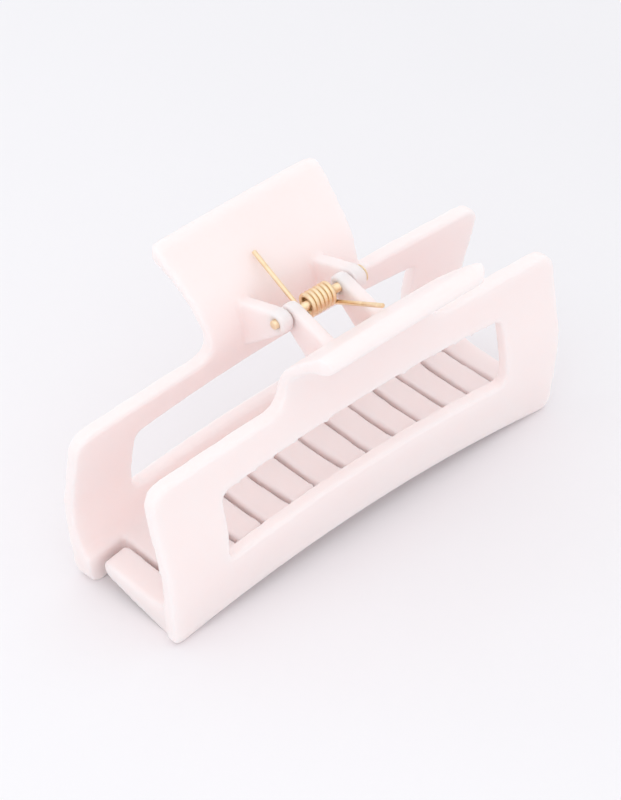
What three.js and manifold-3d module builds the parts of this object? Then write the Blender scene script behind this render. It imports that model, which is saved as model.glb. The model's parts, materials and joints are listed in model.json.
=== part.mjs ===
// Rectangular claw hair clip: two moulded jaws set back to back, alike except for their
// ears, a headed hinge pin through the ears and a torsion spring that keeps them closed.
// Millimetres, +Z up. X runs along the clip, the front jaw is on the -Y side.
// The origin is under the middle of the closed clip, on the plane it stands on.

import * as THREE from 'three';
import { mergeVertices } from 'three/addons/utils/BufferGeometryUtils.js';
import Module from 'manifold-3d';

const wasm = await Module();
wasm.setup();

// ---- overall sizes ----
const clip_length = 109;        // along the rail, the widest place
const end_draw_in = 2;          // how much further in each end is at the bottom
const rail_height = 39.8;       // top of the rail at the ends of a jaw
const arch_rise = 4.6;          // how much higher a jaw's bottom edge is at mid length
const rail_arch_rise = 1.65;    // the same for the top of the rail
const foot_depth = 0.2;         // pared off flat where the ends stand
const jaw_half_depth = 15;      // bottom of the outer face, from the middle of the clip
const jaw_bulge = 0.9;          // how far the outer face swells past the bottom at mid height
const wall = 3;                 // thickness of a jaw's plate
const end_corner_radius = 4;

// ---- window in each jaw ----
const window_length = 76.2;
const window_sill = 13.9;       // above the bottom of the jaw
const window_height = 15.3;
const window_corner_radius = 1.8;

// ---- teeth ----
const teeth_per_jaw = 7;
const teeth_length = 102.2;     // the row of all fourteen teeth, a little short of the jaw
const tooth_gap = 0.6;          // side gap between a tooth and its neighbour from the other jaw
const tooth_taper = 0.5;        // how much a side of a tooth draws in towards its tip
const tooth_tip_gap = 1.2;      // from a tooth's tip to the slot's end in the other jaw
const tooth_root_radius = 1.2;

// ---- thumb tab ----
const tab_waist = 39.8;         // narrowest width, just above the rail
const tab_width = 43.2;         // width at the tip
const tab_reach = 26;           // tip, out from the middle of the clip
const tab_height = 20;          // tip, above the rail
const tab_corner_radius = 3.8;

// ---- hinge ----
const pin_above_rail = 8.9;     // pin axis above the top of the rail at mid length
const pin_radius = 0.95;
const pin_running_gap = 0.07;
const pin_head_radius = 1.9;
const pin_head_thickness = 0.7;
const pin_end_proud = 0.6;
const ear_thickness = 3;
const ear_gap = 0.3;
const ear_radius = 2.5;
const ear_top_deg = 17;         // how steeply an ear's top edge runs down to the thumb tab
const ear_under_deg = 40;       // the same for its underside

// ---- spring ----
const wire_radius = 0.5;
const coil_mean_radius = 2.1;
const coil_full_turns = 6;
const turn_gap = 0.06;
const leg_rise_deg = 27;        // angle of each leg above level
const leg_length = 15.6;
const spring_end_gap = 1.3;     // coil to the inner ears

// ---- sizes that follow ----
const half_length = clip_length / 2;
const half_foot = half_length - end_draw_in;
const standing_x = half_foot - end_corner_radius;   // where the rounded bottom corners begin
const drop = arch_rise * (1 - (standing_x / half_foot) ** 2) + foot_depth;
const window_head = window_sill + window_height;
const slice_count = 14;
const pin_height = rail_height + rail_arch_rise - drop + pin_above_rail;
const tooth_pitch = teeth_length / (2 * teeth_per_jaw);
const slot_end = jaw_half_depth - wall - 2;
const tooth_reach = slot_end - tooth_tip_gap;
const turns = coil_full_turns + (2 * leg_rise_deg) / 360;
const coil_pitch = 2 * wire_radius + turn_gap;
const coil_length = turns * coil_pitch;
const inner_ear_start = coil_length / 2 + wire_radius + spring_end_gap;
const outer_ear_start = inner_ear_start + ear_thickness + ear_gap;
const outer_ear_end = outer_ear_start + ear_thickness;

// ---- materials ----
const plastic = new THREE.MeshStandardMaterial({
  name: 'frosted_plastic', color: 0xf0d3d0, roughness: 0.45, metalness: 0,
});
const gilt = new THREE.MeshStandardMaterial({
  name: 'gold_plating', color: 0xc9a15a, roughness: 0.28, metalness: 1,
});

// ---- helpers ----
function lift(x, z = 0) {
  // height the arch adds at a station along the clip; above the window it flattens out
  const up = THREE.MathUtils.clamp((z - window_head) / (rail_height - window_head), 0, 1);
  const rise = THREE.MathUtils.lerp(arch_rise, rail_arch_rise, up);
  return rise * (1 - (x / half_foot) ** 2) - drop;
}

function toManifold(geometry) {
  const plain = geometry.clone();
  plain.deleteAttribute('normal');
  plain.deleteAttribute('uv');
  const merged = mergeVertices(plain, 1e-5);
  return new wasm.Manifold(new wasm.Mesh({
    numProp: 3,
    vertProperties: new Float32Array(merged.attributes.position.array),
    triVerts: new Uint32Array(merged.index.array),
  }));
}

function toGeometry(solid) {
  const mesh = solid.getMesh();
  const geometry = new THREE.BufferGeometry();
  const positions = new Float32Array(mesh.vertProperties);
  geometry.setAttribute('position', new THREE.BufferAttribute(positions, 3));
  geometry.setIndex(new THREE.BufferAttribute(new Uint32Array(mesh.triVerts), 1));
  const flat = geometry.toNonIndexed();
  flat.computeVertexNormals();
  return flat;
}

function alongX(outline, from, to, steps = 1) {
  // an outline drawn in (y, z), pushed along X between two stations
  const geometry = new THREE.ExtrudeGeometry(outline, {
    depth: to - from, steps, bevelEnabled: false, curveSegments: 8,
  });
  geometry.translate(0, 0, from);
  geometry.applyMatrix4(new THREE.Matrix4().makeBasis(
    new THREE.Vector3(0, 1, 0), new THREE.Vector3(0, 0, 1), new THREE.Vector3(1, 0, 0)));
  return geometry;
}

function alongY(outline, from, to) {
  // an outline drawn in (x, z), pushed along Y between two stations
  const geometry = new THREE.ExtrudeGeometry(outline, {
    depth: to - from, bevelEnabled: false, curveSegments: 6,
  });
  geometry.rotateX(Math.PI / 2);
  geometry.translate(0, to, 0);
  return geometry;
}

function smooth(points, count) {
  return new THREE.SplineCurve(points.map(([a, b]) => new THREE.Vector2(a, b))).getPoints(count);
}

function arched(fromX, toX, height, count) {
  // points along a line that follows the arch
  const points = [];
  for (let i = 0; i <= count; i += 1) {
    const x = fromX + ((toX - fromX) * i) / count;
    points.push(new THREE.Vector2(x, height + lift(x, height)));
  }
  return points;
}

function corner(x, z, radius, startDeg, endDeg, flatten = 1) {
  // a quarter round about a centre; flatten squeezes it in height
  const arc = new THREE.EllipseCurve(x, z, radius, radius * flatten,
    THREE.MathUtils.degToRad(startDeg), THREE.MathUtils.degToRad(endDeg), endDeg < startDeg);
  return arc.getPoints(5);
}

// ---- one jaw, drawn on the +Y side ----
function jawSection() {
  // closed outline in (y, z): outer face up to the tab's tip, inner face down to the teeth
  const d = jaw_half_depth;
  const top = rail_height;
  const swell = d + jaw_bulge;
  const tip_z = top + tab_height;
  const w = wall;
  const outer_face = smooth([
    [d - 1.9, 0], [d - 0.6, 0.7], [d, 2.4], [d + 0.3, 6], [swell - 0.2, 12], [swell, 17],
    [swell - 0.4, 22], [d - 0.9, 28.2], [d - 2, 33.5], [d - 2.8, top - 0.2],
    [d - 3.2, top + 2], [d - 2.9, top + 4.9], [d - 1.1, top + 8.4], [d + 2.2, top + 11.8],
    [d + 6, top + 14.8], [tab_reach - 0.9, tip_z - 3.5],
  ], 32);
  const tip = smooth([
    [tab_reach - 0.9, tip_z - 3.5], [tab_reach, tip_z - 2.4], [tab_reach - 0.4, tip_z - 1],
    [tab_reach - 2, tip_z], [tab_reach - 3.4, tip_z - 0.3],
  ], 7);
  const inner_face = smooth([
    [tab_reach - 3.4, tip_z - 0.3], [d + 4, top + 16.7], [d + 0.2, top + 13.2],
    [d - w, top + 9.9], [d - 1.8 - w, top + 6.7], [d - 2.9 - w, top + 3.6],
    [d - 3.1 - w, top + 0.6], [d - 2.6 - w, top - 2.6], [d - 1.7 - w, 32.6],
    [d - 0.6 - w, 27.4], [swell - 0.5 - w, 22], [swell - w, 17.4], [swell - 0.4 - w, 12.4],
    [d - 0.6 - w, 9.1], [d - 2.4 - w, 7.5], [d - 5 - w, 6.8], [2, 6.6],
    [-tooth_reach + 1.6, 6.9],
  ], 34);
  const tooth_tip = smooth([
    [-tooth_reach + 1.6, 6.9], [-tooth_reach + 0.3, 6.4], [-tooth_reach, 5.2],
    [-tooth_reach + 0.8, 3.8],
  ], 5);
  const underside = smooth([
    [-tooth_reach + 0.8, 3.8], [0, 2.1], [d - 8, 0.8], [d - 4.6, 0.2], [d - 3, 0],
  ], 7);
  const outline = [outer_face, tip, inner_face, tooth_tip, underside]
    .flatMap((run) => run.slice(0, -1));
  outline.push(new THREE.Vector2(d - 3, 0));
  return new THREE.Shape(outline);
}

function frontOutline() {
  // closed outline in (x, z) of the jaw with its thumb tab
  const r = end_corner_radius;
  const rail = rail_height;
  const end_top = rail + lift(half_length - r, rail);
  const waist = tab_waist / 2;
  const half_tab = tab_width / 2;
  const neck = rail + lift(waist, rail);
  const tip_z = rail + tab_height + 2;
  const low = -3;
  const right = [
    ...corner(half_foot - r, r, r, -90, 0),
    ...corner(half_length - r, end_top - r, r, 0, 84),
    ...arched(half_length - r - 1.5, waist + 4, rail, 4),
    ...smooth([
      [waist + 2.6, neck + 0.1], [waist + 0.9, neck + 1.1], [waist, neck + 3.4],
      [waist + 0.4, neck + 8], [waist + 0.9, neck + 13], [half_tab, neck + 17.5],
    ], 12),
  ];
  const left = right.map((p) => new THREE.Vector2(-p.x, p.y)).reverse();
  const foot = half_foot - r;
  const start = [new THREE.Vector2(-foot, low), new THREE.Vector2(foot, low)];
  const crown = [new THREE.Vector2(half_tab, tip_z), new THREE.Vector2(-half_tab, tip_z)];
  return new THREE.Shape([...start, ...right, ...crown, ...left]);
}

function topOutline() {
  // closed outline in (x, y): the whole rail, then the thumb tab with its two rounded corners
  const e = half_length + 1;
  const half_tab = tab_width / 2;
  const r = tab_corner_radius;
  const tip = tab_reach + 0.05;
  const shoulder = jaw_half_depth + jaw_bulge + 0.6;
  return new THREE.Shape([
    new THREE.Vector2(-e, -tooth_reach - 4), new THREE.Vector2(e, -tooth_reach - 4),
    new THREE.Vector2(e, shoulder), new THREE.Vector2(half_tab, shoulder),
    ...corner(half_tab - r, tip - r * 0.85, r, 0, 90, 0.85),
    ...corner(-half_tab + r, tip - r * 0.85, r, 90, 180, 0.85),
    new THREE.Vector2(-half_tab, shoulder), new THREE.Vector2(-e, shoulder),
  ]);
}

function windowOutline() {
  const e = window_length / 2;
  const r = window_corner_radius;
  const sill = window_sill;
  const head = window_head;
  const edge = lift(e);
  return new THREE.Shape([
    ...arched(-(e - r), e - r, sill, 10),
    ...corner(e - r, sill + edge + r, r, -60, 0),
    ...corner(e - r, head + edge - r, r, 0, 60),
    ...arched(e - r, -(e - r), head, 10),
    ...corner(-(e - r), head + edge - r, r, 120, 180),
    ...corner(-(e - r), sill + edge + r, r, 180, 240),
  ]);
}

function slotOutline(from, to, end) {
  // gap between two teeth of one jaw, in (x, y), open towards the other jaw
  const low = from - tooth_gap / 2;
  const high = to + tooth_gap / 2;
  const r = tooth_root_radius;
  return new THREE.Shape([
    new THREE.Vector2(low - tooth_taper, -tooth_reach - 3),
    new THREE.Vector2(high + tooth_taper, -tooth_reach - 3),
    ...corner(high - r, end - r, r, 0, 90),
    ...corner(low + r, end - r, r, 90, 180),
  ]);
}

function earOutline() {
  // a lug in (y, z): round at the pin, then widening out to the thumb tab
  const top = THREE.MathUtils.degToRad(ear_top_deg);
  const under = THREE.MathUtils.degToRad(ear_under_deg);
  const y = jaw_half_depth - wall - 1.8;
  const r = ear_radius;
  const outline = new THREE.Shape();
  outline.moveTo(y, pin_height + r / Math.cos(top) - y * Math.tan(top));
  outline.absarc(0, pin_height, r, Math.PI / 2 - top, 1.5 * Math.PI - under, false);
  outline.lineTo(y, pin_height - r / Math.cos(under) - y * Math.tan(under));
  return outline;
}

function makeJaw(ear_start) {
  // drawn on the +Y side, with a pair of ears whose inner faces are ear_start from mid length
  const blank = alongX(jawSection(), -half_length, half_length, slice_count);
  const place = blank.attributes.position;
  for (let i = 0; i < place.count; i += 1) {
    place.setZ(i, place.getZ(i) + lift(place.getX(i), place.getZ(i)));
  }
  let jaw = toManifold(blank);
  jaw = jaw.intersect(toManifold(alongY(frontOutline(), -tooth_reach - 5, tab_reach + 5)));
  const plan = new THREE.ExtrudeGeometry(topOutline(), {
    depth: 90, bevelEnabled: false, curveSegments: 4,
  });
  plan.translate(0, 0, -10);
  jaw = jaw.intersect(toManifold(plan));
  jaw = jaw.subtract(toManifold(alongY(windowOutline(), slot_end - 4, jaw_half_depth + 6)));
  const row_end = teeth_length / 2;
  const past_end = half_length + 5;
  const slots = [[row_end, past_end, jaw_half_depth - wall + 0.2]];
  for (let k = 0; k < teeth_per_jaw; k += 1) {
    // slots sit where the other jaw's teeth come through, at the odd stations from +X
    const to = (teeth_per_jaw - 2 * k - 1) * tooth_pitch;
    const is_last = k === teeth_per_jaw - 1;
    slots.push([is_last ? -past_end : to - tooth_pitch, to, slot_end]);
  }
  for (const [from, to, end] of slots) {
    const slot = new THREE.ExtrudeGeometry(slotOutline(from, to, end), {
      depth: 26, bevelEnabled: false, curveSegments: 4,
    });
    slot.translate(0, 0, -6);
    jaw = jaw.subtract(toManifold(slot));
  }
  const ear_end = ear_start + ear_thickness;
  jaw = jaw.add(toManifold(alongX(earOutline(), -ear_end, -ear_start)));
  jaw = jaw.add(toManifold(alongX(earOutline(), ear_start, ear_end)));
  const bore = new THREE.CylinderGeometry(
    pin_radius + pin_running_gap, pin_radius + pin_running_gap, 3 * outer_ear_end, 24);
  bore.rotateZ(Math.PI / 2);
  bore.translate(0, 0, pin_height);
  jaw = jaw.subtract(toManifold(bore));
  const ground = new THREE.BoxGeometry(clip_length + 20, 80, 10);
  ground.translate(0, 0, -5);
  return jaw.subtract(toManifold(ground));
}

const rear_geometry = toGeometry(makeJaw(outer_ear_start));
const front_geometry = toGeometry(makeJaw(inner_ear_start));
front_geometry.rotateZ(Math.PI);

const rear_jaw = new THREE.Mesh(rear_geometry, plastic);
rear_jaw.name = 'rear_jaw';
const front_jaw = new THREE.Mesh(front_geometry, plastic);
front_jaw.name = 'front_jaw';

// ---- hinge pin: a turned shape with a low domed head at the +X end ----
function makePin() {
  const start = -outer_ear_end - pin_end_proud;
  const seat = outer_ear_end + 0.25;
  const profile = [
    [0, start], [pin_radius - 0.2, start], [pin_radius, start + 0.2], [pin_radius, seat],
    [pin_head_radius, seat], [pin_head_radius, seat + pin_head_thickness * 0.45],
    [pin_head_radius * 0.72, seat + pin_head_thickness * 0.9], [0, seat + pin_head_thickness],
  ];
  const pin = new THREE.LatheGeometry(profile.map(([r, h]) => new THREE.Vector2(r, h)), 24);
  pin.rotateZ(-Math.PI / 2);
  pin.translate(0, 0, pin_height);
  return toGeometry(toManifold(pin));
}

const hinge_pin = new THREE.Mesh(makePin(), gilt);
hinge_pin.name = 'hinge_pin';

// ---- torsion spring: close-wound coil round the pin, one leg on each thumb tab ----
function springPath() {
  const rise = THREE.MathUtils.degToRad(leg_rise_deg);
  const start_angle = -Math.PI / 2 + rise;
  const points = [];
  const rear = new THREE.Vector2(Math.cos(rise), Math.sin(rise));
  const x0 = -coil_length / 2;
  const coil_point = (s) => {
    const a = start_angle - s * 2 * Math.PI;
    return new THREE.Vector3(x0 + s * coil_pitch, coil_mean_radius * Math.cos(a),
      pin_height + coil_mean_radius * Math.sin(a));
  };
  const first = coil_point(0);
  const last = coil_point(turns);
  for (const reach of [1, 0.75, 0.5, 0.25, 0.08]) {
    const out = reach * leg_length;
    points.push(new THREE.Vector3(x0, first.y + rear.x * out, first.z + rear.y * out));
  }
  const per_turn = 16;
  const count = Math.round(turns * per_turn);
  for (let i = 0; i <= count; i += 1) {
    points.push(coil_point((turns * i) / count));
  }
  for (const reach of [0.08, 0.25, 0.5, 0.75, 1]) {
    const out = reach * leg_length;
    points.push(new THREE.Vector3(-x0, last.y - rear.x * out, last.z + rear.y * out));
  }
  return new THREE.CatmullRomCurve3(points, false, 'centripetal');
}

function makeSpring() {
  const ring = new THREE.Shape();
  ring.absarc(0, 0, wire_radius, 0, 2 * Math.PI, false);
  const path = springPath();
  const coil_run = turns * 2 * Math.PI * coil_mean_radius;
  const steps = Math.round((18 * turns * (coil_run + 2 * leg_length)) / coil_run);
  const wire = new THREE.ExtrudeGeometry(ring, {
    steps, extrudePath: path, bevelEnabled: false, curveSegments: 8,
  });
  return toGeometry(toManifold(wire));
}

const torsion_spring = new THREE.Mesh(makeSpring(), gilt);
torsion_spring.name = 'torsion_spring';

const group = new THREE.Group();
group.name = 'claw_clip';
group.add(front_jaw, rear_jaw, hinge_pin, torsion_spring);

export default group;
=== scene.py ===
# %% [markdown]
# # A claw clip in milky pink plastic
#
# A claw clip is four loose parts: two jaws set back to back, a pin through their ears,
# and a wire spring wound round the pin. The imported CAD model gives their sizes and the
# hinge. This notebook makes the surfaces you look at: soft edges, milky plastic and
# gold-coloured wire.

# %% Load the frame
import json
import math
import bmesh
import bpy
from mathutils import Matrix, Vector


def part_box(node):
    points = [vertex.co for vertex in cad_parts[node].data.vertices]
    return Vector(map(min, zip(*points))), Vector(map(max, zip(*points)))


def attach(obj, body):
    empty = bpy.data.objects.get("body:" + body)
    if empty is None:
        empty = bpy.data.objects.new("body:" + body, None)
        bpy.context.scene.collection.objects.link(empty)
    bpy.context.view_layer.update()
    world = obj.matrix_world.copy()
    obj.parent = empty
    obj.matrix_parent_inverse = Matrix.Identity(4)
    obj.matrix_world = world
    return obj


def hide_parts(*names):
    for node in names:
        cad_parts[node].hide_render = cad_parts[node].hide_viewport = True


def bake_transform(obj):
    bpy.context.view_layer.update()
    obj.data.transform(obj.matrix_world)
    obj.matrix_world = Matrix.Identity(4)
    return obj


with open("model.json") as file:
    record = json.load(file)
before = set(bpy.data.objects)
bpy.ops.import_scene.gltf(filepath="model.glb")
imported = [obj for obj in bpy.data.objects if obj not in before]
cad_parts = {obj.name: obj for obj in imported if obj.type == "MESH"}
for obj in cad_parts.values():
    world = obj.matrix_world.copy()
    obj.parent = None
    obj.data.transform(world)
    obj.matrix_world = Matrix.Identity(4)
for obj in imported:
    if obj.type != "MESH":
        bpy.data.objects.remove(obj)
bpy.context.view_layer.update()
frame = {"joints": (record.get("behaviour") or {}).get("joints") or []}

scene = bpy.context.scene
MM = 0.001

joint = frame["joints"][0]
PIN_Z = joint["pos_m"][2] / MM
jaw_low, jaw_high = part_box("rear_jaw")
LENGTH = (jaw_high[0] - jaw_low[0]) / MM
HALF = LENGTH / 2
print("clip", round(LENGTH, 1), "mm long, pin", round(PIN_Z, 2), "mm up")

# %% [markdown]
# ## Camera
#
# The clip is seen from its front left corner and from well above, through a long lens,
# so parallel edges stay nearly parallel. The camera is placed by an angle round the
# clip, a height angle and a distance from the point it looks at.

# %% Camera
CAM_AZ, CAM_EL, CAM_ROLL = -43.07, 40.64, -0.377
CAM_DISTANCE = 0.6978
CAM_TARGET = Vector((7.825, 9.905, 10.70)) * MM
LENS, SHIFT = 153.2, (-0.0033, 0.0101)


def camera_axes(azimuth, elevation, roll):
    a, e, r = (math.radians(v) for v in (azimuth, elevation, roll))
    back = Vector((math.sin(a) * math.cos(e), -math.cos(a) * math.cos(e), math.sin(e)))
    right = Vector((math.cos(a), math.sin(a), 0))
    up = back.cross(right)
    turned_right = right * math.cos(r) + up * math.sin(r)
    return turned_right, back.cross(turned_right), back


right, up, back = camera_axes(CAM_AZ, CAM_EL, CAM_ROLL)
lens_data = bpy.data.cameras.new("camera")
camera = bpy.data.objects.new("camera", lens_data)
scene.collection.objects.link(camera)
camera.matrix_world = Matrix.Translation(CAM_TARGET + back * CAM_DISTANCE) @ Matrix(
    (right, up, back)).transposed().to_4x4()
lens_data.sensor_width = 36
lens_data.lens = LENS
lens_data.shift_x, lens_data.shift_y = SHIFT
scene.camera = camera
print("lens", round(lens_data.lens, 1), "mm")

# %% [markdown]
# ## Helpers for a moulding drawn as outlines
#
# A moulding like this is easiest to describe by three outlines: its section, its front
# view and its plan. A flat curve with a thickness is already a prism, and prisms can be
# cut and joined with booleans. Automatic handles give smooth runs; vector handles keep a
# corner.

# %% Prisms from flat curves
AXES = {
    "X": Matrix(((0, 0, 1, 0), (1, 0, 0, 0), (0, 1, 0, 0), (0, 0, 0, 1))),
    "Y": Matrix(((1, 0, 0, 0), (0, 0, -1, 0), (0, 1, 0, 0), (0, 0, 0, 1))),
    "Z": Matrix.Identity(4),
}


def prism(name, runs, axis, low, high, resolution=10):
    """A closed outline in mm, pushed along an axis. Each run of points is one smooth
    line; where two runs meet there is a corner."""
    curve = bpy.data.curves.new(name, "CURVE")
    curve.dimensions = "2D"
    curve.fill_mode = "BOTH"
    curve.resolution_u = resolution
    curve.extrude = (high - low) / 2 * MM
    spline = curve.splines.new("BEZIER")
    points = [(p, i in (0, len(run) - 1)) for run in runs for i, p in enumerate(run)]
    spline.bezier_points.add(len(points) - 1)
    for knot, ((u, v), is_end) in zip(spline.bezier_points, points):
        knot.co = (u * MM, v * MM, 0)
        kind = "VECTOR" if is_end else "AUTO"
        knot.handle_left_type = knot.handle_right_type = kind
    spline.use_cyclic_u = True
    flat = bpy.data.objects.new(name + "_curve", curve)
    scene.collection.objects.link(flat)
    bpy.context.view_layer.update()
    mesh = bpy.data.meshes.new_from_object(flat.evaluated_get(
        bpy.context.evaluated_depsgraph_get()))
    bpy.data.objects.remove(flat)
    middle = {"X": 1, "Y": -1, "Z": 1}[axis] * (low + high) / 2 * MM
    mesh.transform(Matrix.Translation((0, 0, middle)))
    mesh.transform(AXES[axis])
    tidy = bmesh.new()
    tidy.from_mesh(mesh)
    bmesh.ops.remove_doubles(tidy, verts=tidy.verts, dist=1e-7)
    bmesh.ops.dissolve_degenerate(tidy, edges=tidy.edges, dist=1e-7)
    bmesh.ops.recalc_face_normals(tidy, faces=tidy.faces)
    tidy.to_mesh(mesh)
    tidy.free()
    mesh.name = name
    piece = bpy.data.objects.new(name, mesh)
    scene.collection.objects.link(piece)
    return piece


def arc(u, v, radius, start, end, squeeze=1.0, steps=4):
    """Points on a round corner, angles in degrees."""
    out = []
    for i in range(steps + 1):
        a = math.radians(start + (end - start) * i / steps)
        out.append((u + radius * math.cos(a), v + radius * squeeze * math.sin(a)))
    return out


# %% Cutting, joining and finishing
def apply_modifiers(piece):
    bpy.context.view_layer.update()
    mesh = bpy.data.meshes.new_from_object(piece.evaluated_get(
        bpy.context.evaluated_depsgraph_get()))
    old = piece.data
    piece.modifiers.clear()
    piece.data = mesh
    mesh.name = piece.name
    bpy.data.meshes.remove(old)
    return piece


def combine(piece, other, operation):
    step = piece.modifiers.new(operation, "BOOLEAN")
    step.operation = operation
    step.solver = "EXACT"
    step.object = other
    apply_modifiers(piece)
    bpy.data.objects.remove(other)
    return piece


# %% [markdown]
# ## The arch
#
# Both jaws rise towards the middle, so the closed clip stands on its four ends. Every
# prism that shapes the plate is sliced into short lengths with bisect_plane and each
# slice is lifted by a parabola, so the window stays parallel to the bottom edge. Above
# the window the parabola flattens, because the rail's top is nearly straight.

# %% Bend a prism to the arch
RAIL = 39.8
HEAD = 29.2
ARCH_RISE = 4.6
RAIL_RISE = 1.65
END_RADIUS = 4.0
FOOT = 0.2
FOOT_HALF = HALF - 2
DROP = ARCH_RISE * (1 - ((FOOT_HALF - END_RADIUS) / FOOT_HALF) ** 2) + FOOT
SLICES = 42


def lift(x, z):
    share = min(1, max(0, (z - HEAD) / (RAIL - HEAD)))
    rise = ARCH_RISE + (RAIL_RISE - ARCH_RISE) * share
    return rise * (1 - (x / FOOT_HALF) ** 2) - DROP


def arch(piece):
    work = bmesh.new()
    work.from_mesh(piece.data)
    for i in range(1, SLICES):
        x = (-HALF + LENGTH * i / SLICES) * MM
        parts = work.verts[:] + work.edges[:] + work.faces[:]
        bmesh.ops.bisect_plane(work, geom=parts, plane_co=(x, 0, 0), plane_no=(1, 0, 0))
    for vert in work.verts:
        vert.co.z += lift(vert.co.x / MM, vert.co.z / MM) * MM
    work.to_mesh(piece.data)
    work.free()
    return piece


print("bottom edge rises", round(lift(0, 0), 2), "mm at mid length")

# %% [markdown]
# ## The jaw's section
#
# Seen from the end, a jaw is one bent strip: the thumb tab curls outwards at the top,
# the plate bulges a little, and at the bottom it turns under and runs flat to the tooth
# tips. The strip is 3 mm thick in the plate and a little thinner in the tab.

# %% Section of the jaw
DEPTH = 15.0
WALL = 3.0
TAB_REACH = 26.0
TIP_Z = RAIL + 20
TOOTH_REACH = 8.8

swell = DEPTH + 0.9
d, w, top = DEPTH, WALL, RAIL
outer_face = [
    (d - 1.9, 0), (d - 0.6, 0.7), (d, 2.4), (d + 0.3, 6), (swell - 0.2, 12), (swell, 17),
    (swell - 0.4, 22), (d - 0.9, 28.2), (d - 2, 33.5), (d - 2.8, top - 0.2),
    (d - 3.2, top + 2), (d - 2.9, top + 4.9), (d - 1.1, top + 8.4), (d + 2.2, top + 11.8),
    (d + 6, top + 14.8), (TAB_REACH - 0.9, TIP_Z - 3.5),
]
tab_tip = [(TAB_REACH, TIP_Z - 2.4), (TAB_REACH - 0.4, TIP_Z - 1), (TAB_REACH - 2, TIP_Z)]
inner_face = [
    (TAB_REACH - 3.4, TIP_Z - 0.3), (d + 4, top + 16.7), (d + 0.2, top + 13.2),
    (d - w, top + 9.9), (d - 1.8 - w, top + 6.7), (d - 2.9 - w, top + 3.6),
    (d - 3.1 - w, top + 0.6), (d - 2.6 - w, top - 2.6), (d - 1.7 - w, 32.6),
    (d - 0.6 - w, 27.4), (swell - 0.5 - w, 22), (swell - w, 17.4), (swell - 0.4 - w, 12.4),
    (d - 0.6 - w, 9.1), (d - 2.4 - w, 7.5), (d - 5 - w, 6.8), (2, 6.6),
    (-TOOTH_REACH + 1.6, 6.9),
]
tooth_tip = [(-TOOTH_REACH + 0.3, 6.4), (-TOOTH_REACH, 5.2)]
underside = [(-TOOTH_REACH + 0.8, 3.8), (0, 2.1), (d - 8, 0.8), (d - 4.6, 0.2), (d - 3, 0)]

jaw = prism("jaw", [outer_face, tab_tip, inner_face, tooth_tip, underside],
            "X", -HALF, HALF, resolution=8)
arch(jaw)
print("section strip has", len(jaw.data.vertices), "points")

# %% [markdown]
# ## Front view and plan
#
# The strip is trimmed by its front view, a long plate with round corners and a waisted
# tab, and by its plan, which rounds the two corners at the tab's tip.

# %% Trim the strip
TAB_HALF = 21.6
WAIST = 19.9
r = END_RADIUS
crown = TIP_Z + 5
right_end = arc(FOOT_HALF - r, r, r, -90, 0) + arc(HALF - r, RAIL - r, r, 0, 84)
rail_top = [(HALF - r - 3, RAIL), (WAIST + 4, RAIL)]
tab_side = [
    (WAIST + 2.6, RAIL + 0.1), (WAIST + 0.9, RAIL + 1.1), (WAIST, RAIL + 3.4),
    (WAIST + 0.4, RAIL + 8), (WAIST + 0.9, RAIL + 13), (TAB_HALF, RAIL + 17.5),
]


def mirrored(run):
    return [(-u, v) for u, v in reversed(run)]


front_view = prism("front_view", [
    [(-(FOOT_HALF - r), -4), (FOOT_HALF - r, -4)], right_end, rail_top, tab_side,
    [(TAB_HALF, crown), (-TAB_HALF, crown)],
    mirrored(tab_side), mirrored(rail_top), mirrored(right_end)], "Y", -20, 30)
combine(jaw, arch(front_view), "INTERSECT")

TAB_CORNER = 3.8
CORNER_SQUEEZE = 0.85
tip_y = TAB_REACH + 0.05
corner_y = tip_y - TAB_CORNER * CORNER_SQUEEZE
shoulder = DEPTH + 1.6
plan = prism("plan", [
    [(-HALF - 1, -20), (HALF + 1, -20), (HALF + 1, shoulder)],
    [(TAB_HALF, shoulder)],
    arc(TAB_HALF - TAB_CORNER, corner_y, TAB_CORNER, 0, 90, CORNER_SQUEEZE),
    arc(-TAB_HALF + TAB_CORNER, corner_y, TAB_CORNER, 90, 180, CORNER_SQUEEZE),
    [(-TAB_HALF, shoulder), (-HALF - 1, shoulder)]], "Z", -10, 80)
combine(jaw, plan, "INTERSECT")
print("trimmed jaw has", len(jaw.data.polygons), "faces")

# %% [markdown]
# ## Window and teeth
#
# The window is one arched prism. The gaps between teeth are straight slots with round
# ends: each is wide enough for the other jaw's tooth to pass through it.

# %% Cut the window and the slots
WINDOW_HALF = 38.1
SILL = 13.9
WINDOW_CORNER = 1.8
c = WINDOW_CORNER
window = prism("window", [
    arc(WINDOW_HALF - c, SILL + c, c, -90, 0), arc(WINDOW_HALF - c, HEAD - c, c, 0, 90),
    arc(-WINDOW_HALF + c, HEAD - c, c, 90, 180),
    arc(-WINDOW_HALF + c, SILL + c, c, 180, 270)], "Y", 5, 30)
combine(jaw, arch(window), "DIFFERENCE")

TEETH = 7
PITCH = 7.3
ROW_END = TEETH * PITCH
GAP = 0.6
TAPER = 0.5
SLOT_END = DEPTH - WALL - 2
ROOT_RADIUS = 1.2
spans = [(ROW_END, HALF + 5, DEPTH - WALL + 0.2)]
for k in range(TEETH):
    to = (TEETH - 2 * k - 1) * PITCH
    spans.append((to - PITCH if k < TEETH - 1 else -HALF - 5, to, SLOT_END))
for low, high, end in spans:
    low, high = low - GAP / 2, high + GAP / 2
    slot = prism("slot", [
        [(low - TAPER, -TOOTH_REACH - 3), (high + TAPER, -TOOTH_REACH - 3)],
        arc(high - ROOT_RADIUS, end - ROOT_RADIUS, ROOT_RADIUS, 0, 90),
        arc(low + ROOT_RADIUS, end - ROOT_RADIUS, ROOT_RADIUS, 90, 180)], "Z", -6, 20)
    combine(jaw, slot, "DIFFERENCE")
print("cut jaw has", len(jaw.data.polygons), "faces")

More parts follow.
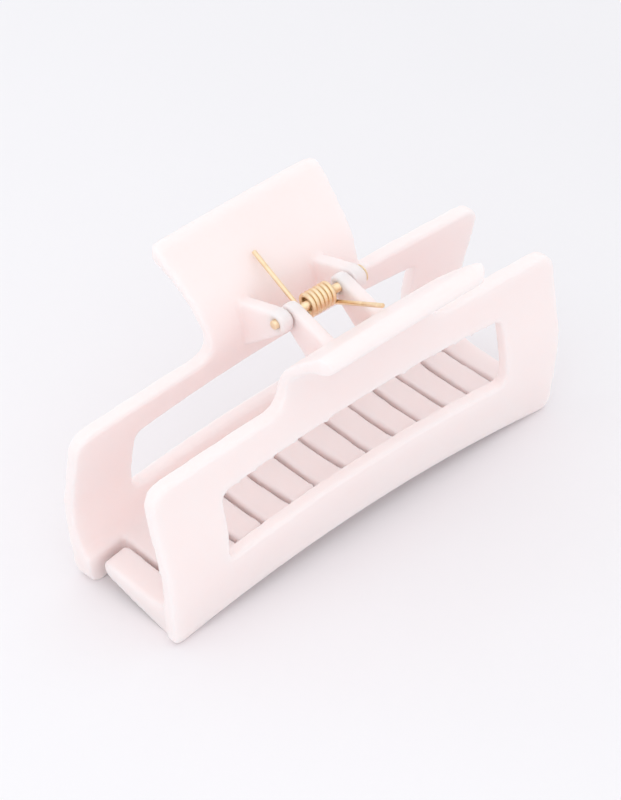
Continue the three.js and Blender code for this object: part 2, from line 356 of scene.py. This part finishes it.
# %% [markdown]
# ## Two jaws, two pairs of ears
#
# Two ears stand on the inside of each tab and carry the pin. The front jaw's pair sits
# next to the spring and the rear jaw's pair outside it, so the jaws interleave. Each ear
# is a lug that starts round at the pin and widens towards the tab. Apart from the ears
# the two jaws are one shape, so the rear one is copied and the copy turned half round.

# %% Ears
EAR = 3.0
EAR_GAP = 0.3
COIL_TURNS = 6 + 54 / 360
COIL_PITCH = 1.06
WIRE = 0.5
COIL_RADIUS = 2.1
SPRING_END_GAP = 1.3
EAR_START = COIL_TURNS * COIL_PITCH / 2 + WIRE + SPRING_END_GAP
OUTER_START = EAR_START + EAR + EAR_GAP
PIN_RADIUS = 0.95
RUNNING_GAP = 0.07
EAR_RADIUS = 2.5
EAR_TOP_DEG, EAR_UNDER_DEG = 17, 40
EAR_TOP, EAR_UNDER = math.radians(EAR_TOP_DEG), math.radians(EAR_UNDER_DEG)

foot_y = DEPTH - WALL - 1.8
foot_top = PIN_Z + EAR_RADIUS / math.cos(EAR_TOP) - foot_y * math.tan(EAR_TOP)
foot_low = PIN_Z - EAR_RADIUS / math.cos(EAR_UNDER) - foot_y * math.tan(EAR_UNDER)
ear_outline = [
    arc(0, PIN_Z, EAR_RADIUS, 90 - EAR_TOP_DEG, 270 - EAR_UNDER_DEG, steps=8),
    [(foot_y, foot_low), (foot_y, foot_top)],
]


def add_ears(piece, start):
    for low in (-start - EAR, start):
        combine(piece, prism("ear", ear_outline, "X", low, low + EAR), "UNION")
    round_hole = arc(0, PIN_Z, PIN_RADIUS + RUNNING_GAP, 0, 330, steps=11)
    bore = prism("bore", [round_hole], "X", -30, 30)
    return combine(piece, bore, "DIFFERENCE")


rear = jaw
rear.name = rear.data.name = "rear_jaw_moulding"
front = bpy.data.objects.new("front_jaw_moulding", rear.data.copy())
front.data.name = "front_jaw_moulding"
scene.collection.objects.link(front)
add_ears(rear, OUTER_START)
add_ears(front, EAR_START)
front.data.transform(Matrix.Rotation(math.pi, 4, "Z"))
print("rear", len(rear.data.polygons), "faces, front", len(front.data.polygons))

# %% [markdown]
# ## Soft moulded edges
#
# A tumbled plastic moulding has no sharp edge and a small fillet in every inside corner.
# A voxel remesh makes the whole jaw one even skin, and a few rounds of smoothing draw
# every edge and corner into a radius of about half a millimetre.

# %% Remesh and smooth
VOXEL = 0.42
ROUNDS = 7


def soften(piece):
    skin = piece.modifiers.new("skin", "REMESH")
    skin.mode = "VOXEL"
    skin.voxel_size = VOXEL * MM
    skin.use_smooth_shade = True
    apply_modifiers(piece)
    relax = piece.modifiers.new("relax", "CORRECTIVE_SMOOTH")
    relax.factor = 0.5
    relax.iterations = ROUNDS
    relax.use_only_smooth = True
    apply_modifiers(piece)
    piece.data.shade_smooth()


for piece, body in ((front, "front"), (rear, "rear")):
    soften(piece)
    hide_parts(body + "_jaw")
    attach(piece, body)
    print(body, "jaw has", len(piece.data.polygons), "faces")

# %% [markdown]
# ## The pin
#
# The pin is a short length of wire with a pressed dome at one end. Spinning half its
# outline round the axis gives a clean round body; the plain end keeps a small chamfer.

# %% Spin the pin
OUTER_END = OUTER_START + EAR
seat = OUTER_END + 0.25
outline = [
    (-OUTER_END - 0.6, 0), (-OUTER_END - 0.6, PIN_RADIUS - 0.22),
    (-OUTER_END - 0.52, PIN_RADIUS - 0.08), (-OUTER_END - 0.36, PIN_RADIUS),
    (seat, PIN_RADIUS), (seat, 1.78), (seat + 0.08, 1.88), (seat + 0.26, 1.85),
    (seat + 0.45, 1.58), (seat + 0.6, 1.05), (seat + 0.68, 0.5), (seat + 0.7, 0),
]


def to_piece(work, name):
    mesh = bpy.data.meshes.new(name)
    work.to_mesh(mesh)
    work.free()
    piece = bpy.data.objects.new(name, mesh)
    scene.collection.objects.link(piece)
    return piece


def spun(name, profile, steps):
    work = bmesh.new()
    verts = [work.verts.new((x * MM, 0, (PIN_Z + radius) * MM)) for x, radius in profile]
    edges = [work.edges.new(pair) for pair in zip(verts, verts[1:])]
    bmesh.ops.spin(work, geom=verts + edges, cent=(0, 0, PIN_Z * MM), axis=(1, 0, 0),
                   angle=math.tau, steps=steps, use_merge=True)
    bmesh.ops.remove_doubles(work, verts=work.verts, dist=1e-7)
    bmesh.ops.recalc_face_normals(work, faces=work.faces)
    piece = to_piece(work, name)
    piece.data.shade_smooth()
    return piece


pin = spun("headed_pin", outline, 48)
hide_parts("hinge_pin")
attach(pin, "front")
print("pin", len(pin.data.polygons), "faces")

# %% [markdown]
# ## The torsion spring
#
# A torsion spring is one wire: a leg, a close-wound coil and another leg. A ring of
# points spun round the pin while it slides along it makes the coil. The two open ends
# are then drawn out along their tangents into the legs, one towards each thumb tab.

# %% Wind the coil
LEG_RISE = math.radians(27)
LEG = 15.6
STEPS_PER_TURN = 40
coil_half = COIL_TURNS * COIL_PITCH / 2
start_angle = -math.pi / 2 + LEG_RISE
axis_point = Vector((0, 0, PIN_Z * MM))
outwards = Vector((0, math.cos(start_angle), math.sin(start_angle)))
tangent = Vector((0, -math.sin(start_angle), math.cos(start_angle)))
ring_centre = Vector((-coil_half * MM, 0, PIN_Z * MM)) + outwards * COIL_RADIUS * MM

work = bmesh.new()
made = bmesh.ops.create_circle(work, segments=14, radius=WIRE * MM, cap_ends=False)
facing = Vector((0, 0, 1)).rotation_difference(-tangent).to_matrix().to_4x4()
bmesh.ops.transform(work, matrix=Matrix.Translation(ring_centre) @ facing,
                    verts=made["verts"])
first_ring = made["verts"][:]
steps = round(COIL_TURNS * STEPS_PER_TURN)
spin = bmesh.ops.spin(
    work, geom=work.verts[:] + work.edges[:], cent=axis_point, axis=(1, 0, 0),
    dvec=(2 * coil_half * MM / steps, 0, 0), angle=-COIL_TURNS * math.tau, steps=steps)
last_ring = [g for g in spin["geom_last"] if isinstance(g, bmesh.types.BMVert)]
print("coil", len(work.faces), "faces")


# %% Draw out the legs
LEG_STEPS = (1.2, 3, 3.6, 3.6)
TIP_STEPS = (0.12, 0.06)
TIP_SHRINK = (0.9, 0.75)


def draw_leg(ring, direction):
    edges = list({e for v in ring for e in v.link_edges
                  if all(u in ring for u in e.verts)})
    straight = LEG_STEPS + (LEG - 11.4 - 0.18,)
    shrinks = (None,) * len(straight) + TIP_SHRINK
    for length, shrink in zip(straight + TIP_STEPS, shrinks):
        out = bmesh.ops.extrude_edge_only(work, edges=edges)["geom"]
        ring = [g for g in out if isinstance(g, bmesh.types.BMVert)]
        edges = [g for g in out if isinstance(g, bmesh.types.BMEdge)
                 and all(v in ring for v in g.verts)]
        bmesh.ops.translate(work, vec=direction * length * MM, verts=ring)
        if shrink:
            middle = sum((v.co for v in ring), Vector()) / len(ring)
            bmesh.ops.scale(work, vec=(shrink,) * 3, space=Matrix.Translation(-middle),
                            verts=ring)
    bmesh.ops.contextual_create(work, geom=edges)


draw_leg(first_ring, tangent)
draw_leg(last_ring, Vector((0, -tangent.y, tangent.z)))
bmesh.ops.recalc_face_normals(work, faces=work.faces)
spring = to_piece(work, "wire_spring")
spring.data.shade_smooth()
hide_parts("torsion_spring")
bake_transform(spring)
print("spring", len(spring.data.polygons), "faces")

# %% [markdown]
# ## Milky plastic
#
# The plastic is a pale pink acrylic blend with a satin skin. Light goes in, scatters
# and comes out nearby. That is subsurface scattering, with a length of about the wall's
# own thickness. Moulded plastic isn't perfectly even: very faint clouds in the colour
# and in the gloss keep it from looking like paint.


# %% Node helpers
def new_material(name):
    material = bpy.data.materials.new(name)
    material.use_nodes = True
    tree = material.node_tree
    return material, tree, tree.nodes["Principled BSDF"]


def add(tree, kind, **values):
    node = tree.nodes.new(kind)
    for key, value in values.items():
        if key in node.inputs:
            node.inputs[key].default_value = value
        else:
            setattr(node, key, value)
    return node


def object_noise(tree, scale, detail):
    place = add(tree, "ShaderNodeTexCoord")
    noise = add(tree, "ShaderNodeTexNoise", Scale=scale, Detail=detail)
    tree.links.new(place.outputs["Object"], noise.inputs["Vector"])
    return noise


def ramp(tree, source, stops):
    node = add(tree, "ShaderNodeValToRGB")
    node.color_ramp.elements[0].position, node.color_ramp.elements[0].color = stops[0]
    node.color_ramp.elements[1].position, node.color_ramp.elements[1].color = stops[1]
    tree.links.new(source, node.inputs["Fac"])
    return node


def spread(tree, source, low, high):
    node = add(tree, "ShaderNodeMapRange")
    node.inputs["To Min"].default_value = low
    node.inputs["To Max"].default_value = high
    tree.links.new(source, node.inputs["Value"])
    return node


# %% Milky pink plastic
plastic, tree, shader = new_material("milky_pink_plastic")
clouds = object_noise(tree, 38, 4)
tint = ramp(tree, clouds.outputs["Fac"], [
    (0.3, (0.985, 0.825, 0.81, 1)), (0.7, (0.99, 0.84, 0.826, 1))])
tree.links.new(tint.outputs["Color"], shader.inputs["Base Color"])
shader.inputs["Subsurface Weight"].default_value = 1.0
shader.inputs["Subsurface Radius"].default_value = (1.0, 0.9, 0.88)
shader.inputs["Subsurface Scale"].default_value = 0.003
shader.inputs["Specular IOR Level"].default_value = 0.35
shader.inputs["IOR"].default_value = 1.49
haze = object_noise(tree, 260, 3)
satin = spread(tree, haze.outputs["Fac"], 0.34, 0.46)
tree.links.new(satin.outputs["Result"], shader.inputs["Roughness"])
grain = object_noise(tree, 900, 2)
skin = add(tree, "ShaderNodeBump", Strength=0.04, Distance=0.0002)
tree.links.new(grain.outputs["Fac"], skin.inputs["Height"])
tree.links.new(skin.outputs["Normal"], shader.inputs["Normal"])
for piece in (front, rear):
    piece.data.materials.clear()
    piece.data.materials.append(plastic)
print("plastic ready")

# %% [markdown]
# ## Gold-coloured plating
#
# The spring and pin are steel with a thin gold-coloured plating: a strong, warm
# reflection, slightly broken by drawing marks from the wire die and by handling.

# %% Gold plating
gold, tree, shader = new_material("gold_plating")
patina = object_noise(tree, 700, 4)
tone = ramp(tree, patina.outputs["Fac"], [
    (0.3, (0.88, 0.67, 0.42, 1)), (0.7, (0.97, 0.79, 0.55, 1))])
tree.links.new(tone.outputs["Color"], shader.inputs["Base Color"])
shader.inputs["Metallic"].default_value = 1.0
wear = spread(tree, patina.outputs["Fac"], 0.22, 0.4)
tree.links.new(wear.outputs["Result"], shader.inputs["Roughness"])
marks = object_noise(tree, 2600, 2)
drawn = add(tree, "ShaderNodeBump", Strength=0.12, Distance=0.0001)
tree.links.new(marks.outputs["Fac"], drawn.inputs["Height"])
tree.links.new(drawn.outputs["Normal"], shader.inputs["Normal"])
for piece in (pin, spring):
    piece.data.materials.clear()
    piece.data.materials.append(gold)
print("gold ready")

# %% [markdown]
# ## Floor and light
#
# A pale floor with no visible edge and a bright, even, pale sky give the nearly
# shadowless look of a catalogue table. One large soft light to the left of the clip is
# weak: it only leaves the right-hand side a shade deeper. The paper's colour also carries
# a painted shade, darker towards that side, standing in for the light falling off.

# %% Floor
work = bmesh.new()
bmesh.ops.create_grid(work, x_segments=1, y_segments=1, size=3)
floor = to_piece(work, "floor")
paper, tree, shader = new_material("paper")
fibre = object_noise(tree, 30, 3)
white = ramp(tree, fibre.outputs["Fac"], [
    (0.3, (0.9, 0.9, 0.915, 1)), (0.7, (0.905, 0.905, 0.92, 1))])
place = add(tree, "ShaderNodeTexCoord")
apart = add(tree, "ShaderNodeSeparateXYZ")
tree.links.new(place.outputs["Object"], apart.inputs["Vector"])
# Painted shade: the paper's colour is scaled from 1.0 down to 0.94 towards +X, standing in
# for the light falling off to the right.
painted_falloff_shade = spread(tree, apart.outputs["X"], 1.0, 0.94)
painted_falloff_shade.inputs["From Min"].default_value = -0.06
painted_falloff_shade.inputs["From Max"].default_value = 0.14
paper_with_painted_shade = add(tree, "ShaderNodeVectorMath", operation="SCALE")
tree.links.new(white.outputs["Color"], paper_with_painted_shade.inputs["Vector"])
tree.links.new(painted_falloff_shade.outputs["Result"], paper_with_painted_shade.inputs["Scale"])
tree.links.new(paper_with_painted_shade.outputs["Vector"], shader.inputs["Base Color"])
shader.inputs["Roughness"].default_value = 0.8
shader.inputs["Specular IOR Level"].default_value = 0.1
floor.data.materials.append(paper)
print("floor ready")


# %% Lights
def soft_light(name, place, target, size, power):
    data = bpy.data.lights.new(name, "AREA")
    data.shape = "SQUARE"
    data.size = size
    data.energy = power
    lamp = bpy.data.objects.new(name, data)
    lamp.location = place
    aim = Vector(target) - Vector(place)
    lamp.rotation_euler = aim.to_track_quat("-Z", "Y").to_euler()
    scene.collection.objects.link(lamp)


soft_light("overhead", (-0.35, -0.15, 0.8), (0, 0, 0.02), 1.1, 1.1)
world = bpy.data.worlds.new("pale_room")
world.use_nodes = True
world.node_tree.nodes["Background"].inputs["Color"].default_value = (0.985, 0.98, 1, 1)
world.node_tree.nodes["Background"].inputs["Strength"].default_value = 1.0
scene.world = world
scene.view_settings.view_transform = "Standard"
print("lights ready")
